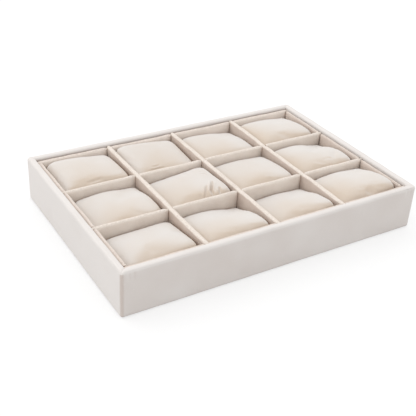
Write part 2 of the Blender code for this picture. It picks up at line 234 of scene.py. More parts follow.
# Fullness of the shoulders, higher is fuller: all pillows lean on their right and back walls, and only the
# front left corner slopes away gently
FULLNESS_LEFT = 3.0
FULLNESS_LEFT_BACK = 9.3
FULLNESS_RIGHT = 12.0
FULLNESS_FRONT = 2.3
FULLNESS_FRONT_RIGHT = 12.6
FULLNESS_BACK = 9.2

# The back right corners are pushed in, some more than others; place and reach are shares of the half sides
DENT_X = 0.77
DENT_Y = 0.76
DENT_REACH = 0.57

# Fitted to each pillow's outline in the photograph and rounded, as are the shares above; keys are
# (row, column) as in the node names
STUFFINGS = {
    ("front", 1): Stuffing(0.0444, 0.0016, -0.0050, 5.4),
    ("front", 2): Stuffing(0.0453, 0.0013, -0.0049, 3.8, dent=0.0079),
    ("front", 3): Stuffing(0.0432, 0.0045, -0.0050, 4.9, dent=0.0057),
    ("front", 4): Stuffing(0.0492, 0.0050, -0.0026, 2.6, dent=0.0064),
    ("middle", 1): Stuffing(0.0445, 0.0050, 0.0007, 2.7, dent=0.0075),
    ("middle", 2): Stuffing(0.0456, 0.0050, -0.0018, 3.4),
    ("middle", 3): Stuffing(0.0448, 0.0021, -0.0011, 4.0, dent=0.0033),
    ("middle", 4): Stuffing(0.0475, 0.0034, -0.0003, 3.8, dent=0.0109),
    ("back", 1): Stuffing(0.0507, -0.0014, 0.0003, 4.1, dent=0.0027),
    ("back", 2): Stuffing(0.0484, -0.0031, 0.0037, 3.5, dent=0.0008),
    ("back", 3): Stuffing(0.0458, -0.0006, 0.0000, 3.6, dent=0.0047),
    ("back", 4): Stuffing(0.0492, 0.0012, -0.0011, 3.9, dent=0.0040),
}


@dataclass
class Crease:
    """A crease pressed into a pillow's top: its run on the tray's plan, how deep and how wide it is."""

    run: tuple
    depth: float
    width: float


# The pleats and small creases that show, keys as above
CREASES = {
    ("middle", 2): (
        Crease(((-0.0170, -0.0105), (-0.0262, -0.0245), (-0.0268, -0.0315)), 0.0026, 0.0012),
        Crease(((-0.0269, -0.0152), (-0.0355, -0.0285)), 0.0015, 0.0010),
        Crease(((-0.0165, -0.0240), (-0.0190, -0.0315)), 0.0018, 0.0013),
        Crease(((-0.0202, 0.0147), (-0.0144, 0.0149), (-0.0118, 0.0087), (-0.0127, 0.0020)), 0.0004, 0.0010),
        Crease(((-0.0218, 0.0110), (-0.0164, 0.0094), (-0.0145, 0.0041), (-0.0160, -0.0025)), 0.0004, 0.0010),
    ),
    ("middle", 4): (
        Crease(((0.1254, -0.0195), (0.1321, -0.0200), (0.1374, -0.0241)), 0.0003, 0.0014),
        Crease(((0.1511, -0.0057), (0.1462, -0.0145), (0.1377, -0.0241)), 0.0007, 0.0030),
    ),
    ("back", 1): (
        Crease(((-0.1359, 0.0478), (-0.1255, 0.0482), (-0.1164, 0.0482)), 0.0007, 0.0011),
        Crease(((-0.1307, 0.0441), (-0.1174, 0.0434)), 0.0007, 0.0010),
    ),
    ("back", 2): (
        Crease(((-0.0611, 0.0475), (-0.0518, 0.0487), (-0.0424, 0.0478)), 0.0010, 0.0011),
        Crease(((-0.0604, 0.0442), (-0.0516, 0.0445), (-0.0431, 0.0441)), 0.0010, 0.0010),
        Crease(((-0.0560, 0.0515), (-0.0470, 0.0520)), 0.0007, 0.0010),
    ),
    ("front", 2): (
        Crease(
            ((-0.0385, -0.0656), (-0.0279, -0.0676), (-0.0184, -0.0733), (-0.0146, -0.0804)), 0.0003, 0.0011,
        ),
    ),
    ("front", 4): (
        Crease(((0.1230, -0.0990), (0.1340, -0.1000)), 0.0008, 0.0040),
    ),
}


# Mesh helpers

def link(name, mesh):
    """Put a mesh in the scene under a name."""
    piece = bpy.data.objects.new(name, mesh)
    bpy.context.scene.collection.objects.link(piece)
    return piece


def finish_mesh(name, shape, smooth=True):
    """Turn a bmesh into a named object with its faces pointing out."""
    bmesh.ops.recalc_face_normals(shape, faces=shape.faces[:])
    mesh = bpy.data.meshes.new(name)
    shape.to_mesh(mesh)
    shape.free()
    if smooth:
        mesh.shade_smooth()
    return link(name, mesh)


def bridge_rings(shape, rings, closed=False):
    """Join rings of equally many vertices with quads."""
    pairs = list(zip(rings, rings[1:]))
    if closed:
        pairs.append((rings[-1], rings[0]))
    for lower, upper in pairs:
        count = len(lower)
        for index in range(count):
            following = (index + 1) % count
            shape.faces.new((lower[index], lower[following], upper[following], upper[index]))


def arc(centre, radius, start_degrees, end_degrees, steps):
    """Points of an arc in a section, from one angle to the other."""
    points = []
    for step in range(steps + 1):
        angle = math.radians(start_degrees + (end_degrees - start_degrees) * step / steps)
        points.append((centre[0] + radius * math.cos(angle), centre[1] + radius * math.sin(angle)))
    return points


def spaced(start, end, step):
    """Evenly spaced places from start to end, both included, about a step apart."""
    count = max(1, round((end - start) / step))
    return [start + (end - start) * number / count for number in range(count + 1)]


def wave(x, y, z, length, seed):
    """Smooth seeded noise, mostly from -1 to 1, with features about one length across."""
    point = Vector(place / length + shift * seed for place, shift in zip((x, y, z), SEED_SHIFT))
    return noise.noise(point, noise_basis="PERLIN_ORIGINAL") * WAVE_GAIN


def place_piece(piece, nodes, material):
    """Make a piece ride on the tray, stand for its nodes and take its finish."""
    piece.data.materials.clear()
    piece.data.materials.append(material)
    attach(piece, "root")
    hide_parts(*nodes)


# Materials

def new_group(name, inputs, outputs):
    """An empty shader node group with float inputs and the given outputs."""
    group = bpy.data.node_groups.new(name, "ShaderNodeTree")
    for title, value in inputs:
        socket = group.interface.new_socket(title, in_out="INPUT", socket_type="NodeSocketFloat")
        socket.default_value = value
    for title in outputs:
        group.interface.new_socket(title, in_out="OUTPUT", socket_type="NodeSocketFloat")
    enter = group.nodes.new("NodeGroupInput")
    leave = group.nodes.new("NodeGroupOutput")
    return group, enter, leave


def math_node(tree, operation, first, second, addend=None, clamp=False):
    """A Math node on two sockets or numbers, and a third where it adds one, giving its output socket."""
    node = tree.nodes.new("ShaderNodeMath")
    node.operation = operation
    node.use_clamp = clamp
    values = (first, second) if addend is None else (first, second, addend)
    for socket, value in zip(node.inputs, values):
        if isinstance(value, (int, float)):
            socket.default_value = value
        else:
            tree.links.new(value, socket)
    return node.outputs[0]


def noise_node(tree, vector, scale, detail, roughness=0.5):
    """A Noise Texture node on a vector, with a number or a socket for its scale."""
    node = tree.nodes.new("ShaderNodeTexNoise")
    node.inputs["Detail"].default_value = detail
    node.inputs["Roughness"].default_value = roughness
    tree.links.new(vector, node.inputs["Vector"])
    if isinstance(scale, (int, float)):
        node.inputs["Scale"].default_value = scale
    else:
        tree.links.new(scale, node.inputs["Scale"])
    return node.outputs["Fac"]


def with_contrast(tree, value, contrast):
    """A mask from a value: its gain times the value and its offset, kept within 0 and 1."""
    gain, offset = contrast
    return math_node(tree, "MULTIPLY_ADD", value, gain, addend=offset, clamp=True)


def make_nap_and_shade_group():
    """Velvet pile: brushed patches, fibre height, light fibres, small tufts and painted shade in crevices."""
    group, enter, leave = new_group(
        "velvet_nap_and_crevice_shade",
        (("Patch scale", 28.0), ("Fibre scale", 1500.0), ("Fleck amount", 0.4)),
        ("Brushed", "Fibre", "Fleck", "Tuft", "Crevice shade"),
    )
    place = group.nodes.new("ShaderNodeTexCoord").outputs["Object"]
    patches = noise_node(group, place, enter.outputs["Patch scale"], 2.0)
    fibre_scale = enter.outputs["Fibre scale"]
    fibre = noise_node(group, place, fibre_scale, 3.0, 0.65)
    fleck_scale = math_node(group, "MULTIPLY", fibre_scale, FLECK_SCALE_SHARE)
    fleck = math_node(group, "SUBTRACT", noise_node(group, place, fleck_scale, 1.0), FLECK_LEAST, clamp=True)
    fleck_gain = math_node(group, "MULTIPLY", enter.outputs["Fleck amount"], FLECK_GAIN)
    tuft_scale = math_node(group, "MULTIPLY", fibre_scale, TUFT_SCALE_SHARE)
    tufts = noise_node(group, place, tuft_scale, 2.0)
    # Painted shade: ambient occlusion darkens the colour in crevices between pieces
    crevice_occlusion = group.nodes.new("ShaderNodeAmbientOcclusion")
    crevice_occlusion.samples = CREVICE_SHADE_SAMPLES
    crevice_occlusion.inputs["Distance"].default_value = CREVICE_SHADE_REACH
    unshaded_share = with_contrast(group, crevice_occlusion.outputs["AO"], UNSHADED_CONTRAST)
    outputs = (
        ("Brushed", with_contrast(group, patches, BRUSHED_CONTRAST)),
        ("Fibre", fibre),
        ("Fleck", math_node(group, "MULTIPLY", fleck, fleck_gain)),
        ("Tuft", with_contrast(group, tufts, TUFT_CONTRAST)),
        ("Crevice shade", math_node(group, "SUBTRACT", 1.0, unshaded_share)),
    )
    for title, socket in outputs:
        group.links.new(socket, leave.inputs[title])
    return group


NAP_AND_SHADE_GROUP = make_nap_and_shade_group()


def mix_colours(tree, factor, first, second):
    """A colour mix driven by a mask; each colour is a triple or a socket."""
    node = tree.nodes.new("ShaderNodeMix")
    node.data_type = "RGBA"
    tree.links.new(factor, node.inputs["Factor"])
    for socket, colour in ((node.inputs[6], first), (node.inputs[7], second)):
        if isinstance(colour, tuple):
            socket.default_value = (*colour, 1.0)
        else:
            tree.links.new(colour, socket)
    return node.outputs[2]


def new_material(name, roughness):
    """A Principled material, its tree and its shader."""
    material = bpy.data.materials.new(name)
    material.use_nodes = True
    shader = material.node_tree.nodes["Principled BSDF"]
    shader.inputs["Roughness"].default_value = roughness
    return material, material.node_tree, shader


def add_bump(tree, shader, height, strength, distance):
    """Shade a surface as if a height that changes over it stood out from it."""
    bump = tree.nodes.new("ShaderNodeBump")
    bump.inputs["Strength"].default_value = strength
    bump.inputs["Distance"].default_value = distance
    tree.links.new(height, bump.inputs["Height"])
    tree.links.new(bump.outputs["Normal"], shader.inputs["Normal"])


def facing_mask(tree, facing, low, high):
    """0 to 1 by the way the surface faces: painted light on the velvets, and where the tufts go."""
    normal = tree.nodes.new("ShaderNodeTexCoord").outputs["Normal"]
    toward = tree.nodes.new("ShaderNodeVectorMath")
    toward.operation = "DOT_PRODUCT"
    toward.inputs[1].default_value = facing
    tree.links.new(normal, toward.inputs[0])
    facing_share = tree.nodes.new("ShaderNodeMapRange")
    facing_share.interpolation_type = "SMOOTHSTEP"
    facing_share.inputs["From Min"].default_value = low
    facing_share.inputs["From Max"].default_value = high
    tree.links.new(toward.outputs["Value"], facing_share.inputs["Value"])
    return facing_share.outputs["Result"]


def hollow_shade_mask(tree, middle):
    """A soft patch round a place in a piece's box: painted shade toward the front of a pillow."""
    place = tree.nodes.new("ShaderNodeTexCoord").outputs["Generated"]
    from_middle = tree.nodes.new("ShaderNodeVectorMath")
    from_middle.operation = "MULTIPLY_ADD"
    from_middle.inputs[1].default_value = HOLLOW_SHADE_SCALE
    from_middle.inputs[2].default_value = (-middle[0] * HOLLOW_SHADE_SCALE[0], -middle[1] * HOLLOW_SHADE_SCALE[1], 0.0)
    tree.links.new(place, from_middle.inputs[0])
    away = tree.nodes.new("ShaderNodeVectorMath")
    away.operation = "LENGTH"
    tree.links.new(from_middle.outputs["Vector"], away.inputs[0])
    patch = tree.nodes.new("ShaderNodeMapRange")
    patch.interpolation_type = "SMOOTHERSTEP"
    patch.inputs["From Min"].default_value = 1.0
    patch.inputs["From Max"].default_value = 0.0
    tree.links.new(away.outputs["Value"], patch.inputs["Value"])
    return patch.outputs["Result"]


@dataclass
class VelvetLook:
    """One velvet: its deep and pale colours, its painted light by facing, and how it varies.

    facing points the way a surface faces where painted light makes it pale; facing_range holds the two
    shares of it between which deep turns into pale. hollow_shade is how much deeper a painted shade patch
    makes it, and hollow_shade_middle its place in shares of the piece's box. crevice_shade is the share
    of the deep colour that is left, in each channel, in the painted shade in crevices.
    """

    deep: tuple
    pale: tuple
    facing: tuple
    facing_range: tuple
    sheen: float
    hollow_shade: float = 0.0
    hollow_shade_middle: tuple = (0.5, 0.2)
    sheen_tint: tuple = (1.0, 1.0, 1.0)
    patch_scale: float = 28.0
    patch_amount: float = 0.35
    fibre_scale: float = 1500.0
    fleck: float = 0.3
    tuft: float = 0.0
    crevice_shade: tuple = (0.64, 0.50, 0.42)
    bump: float = 0.25


def make_velvet(name, look):
    """Short velvet: painted light by facing, painted shade in crevices, brushed patches and a soft sheen."""
    material, tree, shader = new_material(name, VELVET_ROUGHNESS)
    nap_and_shade = tree.nodes.new("ShaderNodeGroup")
    nap_and_shade.node_tree = NAP_AND_SHADE_GROUP
    nap_and_shade.inputs["Patch scale"].default_value = look.patch_scale
    nap_and_shade.inputs["Fibre scale"].default_value = look.fibre_scale
    nap_and_shade.inputs["Fleck amount"].default_value = look.fleck
    amount = look.patch_amount
    patch = math_node(tree, "MULTIPLY_ADD", nap_and_shade.outputs["Brushed"], amount, addend=-amount / 2)
    # Painted light: faces turned toward the facing direction take the pale colour, the others the deep one
    facing_share = facing_mask(tree, look.facing, *look.facing_range)
    factor = math_node(tree, "ADD", facing_share, patch, clamp=not look.hollow_shade)
    # Painted shade: a soft patch toward the front of the pillow takes more of the deep colour
    if look.hollow_shade:
        hollow_shading = math_node(tree, "MULTIPLY", hollow_shade_mask(tree, look.hollow_shade_middle), look.hollow_shade)
        factor = math_node(tree, "SUBTRACT", factor, hollow_shading, clamp=True)
    colour = mix_colours(tree, factor, look.deep, look.pale)
    lightest = tuple(min(1.0, value * FLECK_LIGHTENING) for value in look.pale)
    colour = mix_colours(tree, nap_and_shade.outputs["Fleck"], colour, lightest)
    if look.tuft:
        tufts = math_node(tree, "MULTIPLY", nap_and_shade.outputs["Tuft"], look.tuft)
        ridge = facing_mask(tree, TUFT_FACING, *TUFT_FACING_RANGE)
        on_ridge = math_node(tree, "MULTIPLY", tufts, ridge)
        colour = mix_colours(tree, on_ridge, colour, tuple(value * TUFT_DARKENING for value in look.deep))
    # Painted shade: crevices take a darker share of the deep colour
    crevice_shade_colour = tuple(value * share for value, share in zip(look.deep, look.crevice_shade))
    colour = mix_colours(tree, nap_and_shade.outputs["Crevice shade"], colour, crevice_shade_colour)
    tree.links.new(colour, shader.inputs["Base Color"])
    add_bump(tree, shader, nap_and_shade.outputs["Fibre"], look.bump, FIBRE_HEIGHT)
    shader.inputs["Specular IOR Level"].default_value = VELVET_SPECULAR
    shader.inputs["Sheen Weight"].default_value = look.sheen
    shader.inputs["Sheen Roughness"].default_value = SHEEN_ROUGHNESS
    shader.inputs["Sheen Tint"].default_value = (*look.sheen_tint, 1.0)
    return material


def make_fibreboard():
    """Raw pressed board: fine specks of fibre over a brown ground."""
    material, tree, shader = new_material("fibreboard", 0.85)
    place = tree.nodes.new("ShaderNodeTexCoord").outputs["Object"]
    specks = noise_node(tree, place, BOARD_SPECK_SCALE, 4.0, 0.7)
    tree.links.new(mix_colours(tree, specks, *BOARD_COLOURS), shader.inputs["Base Color"])
    add_bump(tree, shader, specks, *BOARD_BUMP)
    return material


def make_backing():
    """Backing paper under the box, embossed like a plain weave."""
    material, tree, shader = new_material("base_paper", 0.9)
    place = tree.nodes.new("ShaderNodeTexCoord").outputs["Object"]
    threads = []
    for direction in ("X", "Y"):
        bands = tree.nodes.new("ShaderNodeTexWave")
        bands.bands_direction = direction
        bands.inputs["Scale"].default_value = BACKING_WEAVE_SCALE
        bands.inputs["Distortion"].default_value = BACKING_WEAVE_UNEVENNESS
        tree.links.new(place, bands.inputs["Vector"])
        threads.append(bands.outputs["Fac"])
    weave = math_node(tree, "MULTIPLY", *threads)
    tree.links.new(mix_colours(tree, weave, *BACKING_COLOURS), shader.inputs["Base Color"])
    add_bump(tree, shader, weave, *BACKING_BUMP)
    return material


# Painted shade: the front face takes some of the deep colour, the other faces the pale one
OUTER_VELVET = make_velvet(
    "outer_velvet",
    VelvetLook(
        deep=(0.580, 0.512, 0.472), pale=(0.712, 0.676, 0.650), facing=(0.60, 0.72, 0.35),
        facing_range=(-0.93, -0.60), sheen=0.15, patch_scale=22.0,
    ),
)
# Painted light: the lining is pale on top and on faces turned right, and deepest on faces turned left, as if in
# shade
LINING_LOOK = VelvetLook(
    deep=(0.582, 0.488, 0.424), pale=(0.800, 0.728, 0.660), facing=(0.35, -0.1, 0.93), facing_range=(-0.35, 0.35),
    sheen=0.2, sheen_tint=(1.0, 0.97, 0.95), patch_scale=60.0, fleck=0.4, tuft=0.4,
    crevice_shade=(0.70, 0.56, 0.47), bump=0.45,
)
LINING_VELVET = make_velvet("lining_velvet", LINING_LOOK)
# The panels' copy of the lining, in slightly other colours, with painted light: pale on faces turned to the
# front, deeper on top, deepest on faces turned left
PANEL_VELVET = make_velvet(
    "panel_velvet",
    replace(
        LINING_LOOK, deep=(0.600, 0.510, 0.450), pale=(0.800, 0.720, 0.655), facing=(0.45, -0.75, 0.35),
        facing_range=(-0.45, 0.9),
    ),
)
# Painted light on the pillows: the copies below are one velvet, each paler on the faces turned toward its own
# light side, with a painted shade patch toward the front
PILLOW_LOOK = VelvetLook(
    deep=(0.605, 0.515, 0.430), pale=(0.664, 0.630, 0.600), facing=(-0.25, 0.65, 0.70), facing_range=(-0.1, 1.0),
    hollow_shade=0.32, hollow_shade_middle=(0.46, 0.14), sheen=0.2, sheen_tint=(1.0, 0.98, 1.0), patch_scale=30.0,
    patch_amount=0.3, fleck=0.2, crevice_shade=(0.94, 0.84, 0.77), bump=0.2,
)
PILLOW_VELVET_LIT_FROM_LEFT = make_velvet("pillow_velvet_lit_from_left", PILLOW_LOOK)
PILLOW_VELVET = make_velvet(
    "pillow_velvet",
    replace(PILLOW_LOOK, facing=(0.40, 0.56, 0.72), hollow_shade_middle=(0.27, 0.20), hollow_shade=0.40),
)
PILLOW_VELVET_LIT_MOST_FROM_RIGHT = make_velvet(
    "pillow_velvet_lit_most_from_right",
    replace(
        PILLOW_LOOK, pale=(0.666, 0.632, 0.600), facing=(0.62, 0.42, 0.66), facing_range=(-0.1, 0.85),
        hollow_shade_middle=(0.14, 0.28), hollow_shade=0.45,
    ),
)
FIBREBOARD = make_fibreboard()
BACKING = make_backing()


# The wrap

def rounded_plan(length, width, radius, corner_steps, side_places):
    """Plan outline with round corners; the straight sides carry points at the given shares of their run."""
    points = []
    corners = ((1, 1, 0.0), (-1, 1, 0.5), (-1, -1, 1.0), (1, -1, 1.5))
    for number, (side_x, side_y, start) in enumerate(corners):
        centre = (side_x * (length / 2 - radius), side_y * (width / 2 - radius))
        for step in range(corner_steps + 1):
            angle = math.pi * (start + 0.5 * step / corner_steps)
            points.append((centre[0] + radius * math.cos(angle), centre[1] + radius * math.sin(angle)))
        following = corners[(number + 1) % 4]
        angle = math.pi * (start + 0.5)
        next_centre = (following[0] * (length / 2 - radius), following[1] * (width / 2 - radius))
        begin = points[-1]
        end = (next_centre[0] + radius * math.cos(angle), next_centre[1] + radius * math.sin(angle))
        for share in side_places[number % 2]:
            points.append((begin[0] + (end[0] - begin[0]) * share, begin[1] + (end[1] - begin[1]) * share))
    return points


def side_shares(run, step):
    """Shares along a straight side: close together near its corners, then evenly spaced."""
    middle = spaced(CORNER_PLACES_END, run - CORNER_PLACES_END, step)
    places = [*CORNER_PLACES, *middle, *(run - place for place in reversed(CORNER_PLACES))]
    return [place / run for place in places]


def wrap_section(low, high):
    """Closed section of the wrap as (inset, level), and how many of its points are on the outside.

    It runs from the turned-in edge up the outside, over the rim, down inside the tray, and back between
    the wrap and the boards.
    """
    inner_face = RIM_WIDTH - WRAP_THICK
    upper = high - WRAP_THICK
    floor = low + WRAP_THICK
    end_inside = high - WRAP_DOWN_INSIDE
    up_outside = spaced(low + BOTTOM_RADIUS, high - RIM_OUTER_RADIUS, OUTSIDE_STEP)
    up_inside = spaced(end_inside, high - RIM_INNER_RADIUS, INSIDE_STEP)
    outside = [(WRAP_TURN_IN, low), (WRAP_TURN_IN / 2, low)]
    outside += arc((BOTTOM_RADIUS, low + BOTTOM_RADIUS), BOTTOM_RADIUS, 270, 180, BOTTOM_STEPS)
    outside += [(0.0, level) for level in up_outside[1:-1]]
    outside += arc((RIM_OUTER_RADIUS, high - RIM_OUTER_RADIUS), RIM_OUTER_RADIUS, 180, 90, RIM_STEPS)
    outside += [(RIM_WIDTH * share, high) for share in RIM_FLAT_SHARES]
    rim_centre = (RIM_WIDTH - RIM_INNER_RADIUS, high - RIM_INNER_RADIUS)
    outside += arc(rim_centre, RIM_INNER_RADIUS, 90, 0, RIM_STEPS)
    outside += [(RIM_WIDTH, level) for level in reversed(up_inside[:-1])]
    inner_radius = RIM_INNER_RADIUS - WRAP_THICK
    outer_radius = RIM_OUTER_RADIUS - WRAP_THICK
    hidden = [(inner_face, end_inside)]
    hidden += arc((inner_face - inner_radius, upper - inner_radius), inner_radius, 0, 90, HIDDEN_STEPS)
    hidden += arc((WRAP_THICK + outer_radius, upper - outer_radius), outer_radius, 90, 180, HIDDEN_STEPS)
    hidden += [(WRAP_THICK, floor), (WRAP_TURN_IN, floor)]
    return outside + hidden, len(outside)


def corner_folds(x, y, level, size, high):
    """How far the wrap sinks at a point: mitred on the rim, tucked into short upright folds below it."""
    from_end = size[0] / 2 - abs(x)
    from_side = size[1] / 2 - abs(y)
    on_rim = level > high - MITRE_DROP
    mitre = math.exp(-(((from_end - from_side) / MITRE_WIDTH) ** 2)) if on_rim else 0.0
    along = max(from_end, from_side)
    fade = max(0.0, 1 - (high - level) / TUCK_REACH)
    tuck = sum(math.exp(-(((along - place) / TUCK_WIDTH) ** 2)) for place in TUCK_PLACES)
    return mitre * MITRE_DEPTH, tuck * fade * TUCK_DEPTH


def outward(x, y, size):
    """The way out of the tray from a point on its walls, through the side that the point is on."""
    if abs(x / size[0]) > abs(y / size[1]):
        return Vector((math.copysign(1.0, x), 0.0, 0.0))
    return Vector((0.0, math.copysign(1.0, y), 0.0))


def wrap_point(x, y, inset, level, size, high):
    """A point on the outside of the wrap, moved by its waves, tucks and mitres."""
    mitre, tuck = corner_folds(x, y, level, size, high)
    point = Vector((x, y, level))
    if inset < RIM_WIDTH / 2 and level < high - RIM_OUTER_RADIUS * WAVE_RIM_SHARE:
        shift = WRAP_WAVE * wave(x, y, level, WRAP_WAVE_LENGTH, WRAP_SEED) - tuck
        point += outward(x, y, size) * (shift - WRAP_WAVE)
    if inset > MITRE_LEAST_INSET:
        point.z -= mitre
    if level > high - RIM_WAVE_DROP:
        point.z += WRAP_WAVE * (wave(x, y, level, WRAP_WAVE_LENGTH / 2, RIM_SEED) - 1.0)
    return point


def make_wrap():
    """One velvet sheet stretched over the walls, soft at its rim, mitred and tucked at its corners."""
    low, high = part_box("outer_wrap")
    length, width = high.x - low.x, high.y - low.y
    size = (length, width)
    section, outer_count = wrap_section(low.z, high.z)
    shares = [side_shares(side - 2 * CORNER_RADIUS, SIDE_STEP) for side in size]
    shape = bmesh.new()
    rings = []
    for number, (inset, level) in enumerate(section):
        radius = max(CORNER_RADIUS - inset, WRAP_LEAST_RADIUS)
        plan = rounded_plan(length - 2 * inset, width - 2 * inset, radius, CORNER_STEPS, shares)
        if number < outer_count and level > low.z:
            points = [wrap_point(x, y, inset, level, size, high.z) for x, y in plan]
        else:
            points = [Vector((x, y, level)) for x, y in plan]
        rings.append([shape.verts.new(point) for point in points])
    bridge_rings(shape, rings, closed=True)
    wrap = finish_mesh("velvet_wrap", shape)
    place_piece(wrap, ["outer_wrap"], OUTER_VELVET)


# Liner panels and dividers

@dataclass
class StripForm:
    """How a covered strip is shaped.

    crossings are (low, high) gaps along the run where another strip passes through it; dips are places
    where its top is pressed down a little by one that crosses it; lean is how far the back of its top
    keeps off the wall behind, towards plus or minus across the run; opening is how much of the full taper
    each end has, which leaves an upright groove where it meets the next strip; bead is how much of the
    full roll of cloth stands out along its top.
    """

    crossings: tuple = ()
    dips: tuple = ()
    lean: float = 0.0
    opening: tuple = (END_TIGHT, END_TIGHT)
    bead: float = 0.0


@dataclass
class StripRun:
    """Where a strip stands: whether it runs along X, its run's ends, its middle, its thickness and levels."""

    lengthwise_x: bool
    start: float
    end: float
    across: float
    thick: float
    foot: float
    top: float


def strip_run(node):
    """The run of a strip, from its node's box."""
    low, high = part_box(node)
    if high.x - low.x > high.y - low.y:
        return StripRun(True, low.x, high.x, (low.y + high.y) / 2, high.y - low.y, low.z, high.z)
    return StripRun(False, low.y, high.y, (low.x + high.x) / 2, high.x - low.x, low.z, high.z)


def uncrossed_spans(run, crossings):
    """The stretches of a run between the gaps where other strips pass through it."""
    spans = []
    at = run.start
    for gap_low, gap_high in crossings:
        spans.append((at, gap_low - CROSSING_GAP))
        at = gap_high + CROSSING_GAP
    spans.append((at, run.end))
    return spans


def strip_section(run):
    """Section of a covered strip as (offset, level): flat foot, upright faces and a round top."""
    radius = run.thick / 2
    top_centre = run.top - radius
    levels = spaced(run.foot, top_centre, STRIP_LEVEL_STEP)
    points = [(radius, level) for level in levels[:-1]]
    points += arc((0.0, top_centre), radius, 0, 180, STRIP_TOP_STEPS)
    points += [(-offset, level) for offset, level in reversed(points[: len(levels) - 1])]
    return points


def end_taper(opening):
    """Steps of the taper at an end, from the end inwards, as (distance in, how much thinner)."""
    reach, depth = END_RUN * opening, END_DEPTH * opening
    shares = [number / END_STEPS for number in range(END_STEPS)]
    return [(reach * share, depth * (1 - share)) for share in shares]


def tapered_places(start, end, opening):
    """Places along a run with how much thinner it is there; opening is how much each end tapers in."""
    at_start, at_end = opening
    places = [(start + inwards, thinner) for inwards, thinner in end_taper(at_start)]
    full = spaced(start + END_RUN * at_start, end - END_RUN * at_end, STRIP_STEP)
    places += [(place, 0.0) for place in full]
    places += [(end - inwards, thinner) for inwards, thinner in reversed(end_taper(at_end))]
    return places


def skin_offset(run, form, offset, level, thinner):
    """How far from a strip's middle its skin is, with its taper, its lean and its rolled top."""
    half_thick = run.thick / 2
    skin = offset * (1 - thinner / half_thick)
    if form.lean * offset < 0:
        skin *= 1 - abs(form.lean) / half_thick * max(0.0, 1 - (run.top - level) / LEAN_DEPTH)
    rolled = form.bead * math.exp(-(((run.top - level - BEAD_DROP) / BEAD_REACH) ** 2))
    return skin * (1 + BEAD_FULLNESS * rolled) + BEAD_SHIFT * rolled


def strip_point(run, form, seed, place, thinner, pinned, offset, level):
    """A point of a strip's skin, with its waves and ripples and what presses its top down."""
    share = (level - run.foot) / (run.top - run.foot)
    side = STRIP_WAVE * wave(place, run.across, 0.0, STRIP_WAVE_LENGTH, seed) * share * pinned
    beside = run.across + offset * RIPPLE_STRETCH
    side += STRIP_RIPPLE * wave(place, beside, level, RIPPLE_LENGTH, seed + RIPPLE_SEED_STEP) * share
    lift = STRIP_WAVE * (wave(place, run.across, 0.0, LIFT_LENGTH, seed + LIFT_SEED_STEP) - 1.0) * share**4
    dip = sum(CROSSING_DIP * math.exp(-(((place - middle) / CROSSING_REACH) ** 2)) for middle in form.dips)
    lift -= (dip + thinner * END_SINK) * share**6
    sideways = run.across + skin_offset(run, form, offset, level, thinner) + side
    if run.lengthwise_x:
        return place, sideways, level + lift
    return sideways, place, level + lift


def strip_piece(name, node, seed, form, velvet=LINING_VELVET):
    """A velvet-covered strip in the place of a liner or divider node, slightly wavy along its run."""
    run = strip_run(node)
    section = strip_section(run)
    shape = bmesh.new()
    for start, end in uncrossed_spans(run, form.crossings):
        rings = []
        for place, thinner in tapered_places(start, end, form.opening):
            pinned = min(1.0, min(place - start, end - place) / PINNED_REACH)
            points = [strip_point(run, form, seed, place, thinner, pinned, *corner) for corner in section]
            rings.append([shape.verts.new(point) for point in points])
        bridge_rings(shape, rings)
        shape.faces.new(list(reversed(rings[0])))
        shape.faces.new(rings[-1])
    piece = finish_mesh(name, shape)
    piece.data.set_sharp_from_angle(angle=math.radians(STRIP_SHARP_DEGREES))
    place_piece(piece, [node], velvet)


def make_liners():
    """A covered panel on each wall of every outer cell."""
    sides = (
        ("front", 4, 0.0, END_TIGHT),
        ("back", 4, -LINER_LEAN / 2, 1.0),
        ("left", 3, 0.0, END_TIGHT),
        ("right", 3, -LINER_LEAN, 1.0),
    )
    seed = LINER_SEED
    for side, count, lean, far_opening in sides:
        form = StripForm(lean=lean, opening=(END_TIGHT, far_opening))
        for number in range(1, count + 1):
            strip_piece(f"{side}_panel_{number}", f"{side}_liner_{number}", seed, form, PANEL_VELVET)
            seed += 1


def make_dividers():
    """Cross dividers run through; long dividers stop at each face of them."""
    cross_boxes = [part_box(f"cross_divider_{number}") for number in (1, 2, 3)]
    long_boxes = [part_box(f"long_divider_{number}") for number in (1, 2)]
    gaps = tuple((low.x, high.x) for low, high in cross_boxes)
    long_middles = tuple((low.y + high.y) / 2 for low, high in long_boxes)
    cross_middles = tuple((low + high) / 2 for low, high in gaps)
    cross_form = StripForm(dips=long_middles, bead=1.0)
    long_form = StripForm(crossings=gaps, dips=cross_middles, opening=(END_TIGHT, 1.0))
    for number in (1, 2, 3):
        strip_piece(f"cross_partition_{number}", f"cross_divider_{number}", CROSS_SEED + number, cross_form)
    for number in (1, 2):
        strip_piece(f"long_partition_{number}", f"long_divider_{number}", LONG_SEED + number, long_form)


# Pillows

def square_directions(points_per_side):
    """Evenly spaced points round the edge of a square of half side 1, anticlockwise."""
    directions = []
    for corner, run in (((1, -1), (0, 1)), ((1, 1), (-1, 0)), ((-1, 1), (0, -1)), ((-1, -1), (1, 0))):
        for step in range(points_per_side):
            share = 2 * step / points_per_side
            directions.append((corner[0] + run[0] * share, corner[1] + run[1] * share))
    return directions


def between(first, second, share):
    """A value part of the way from one number to another."""
    return first + (second - first) * share


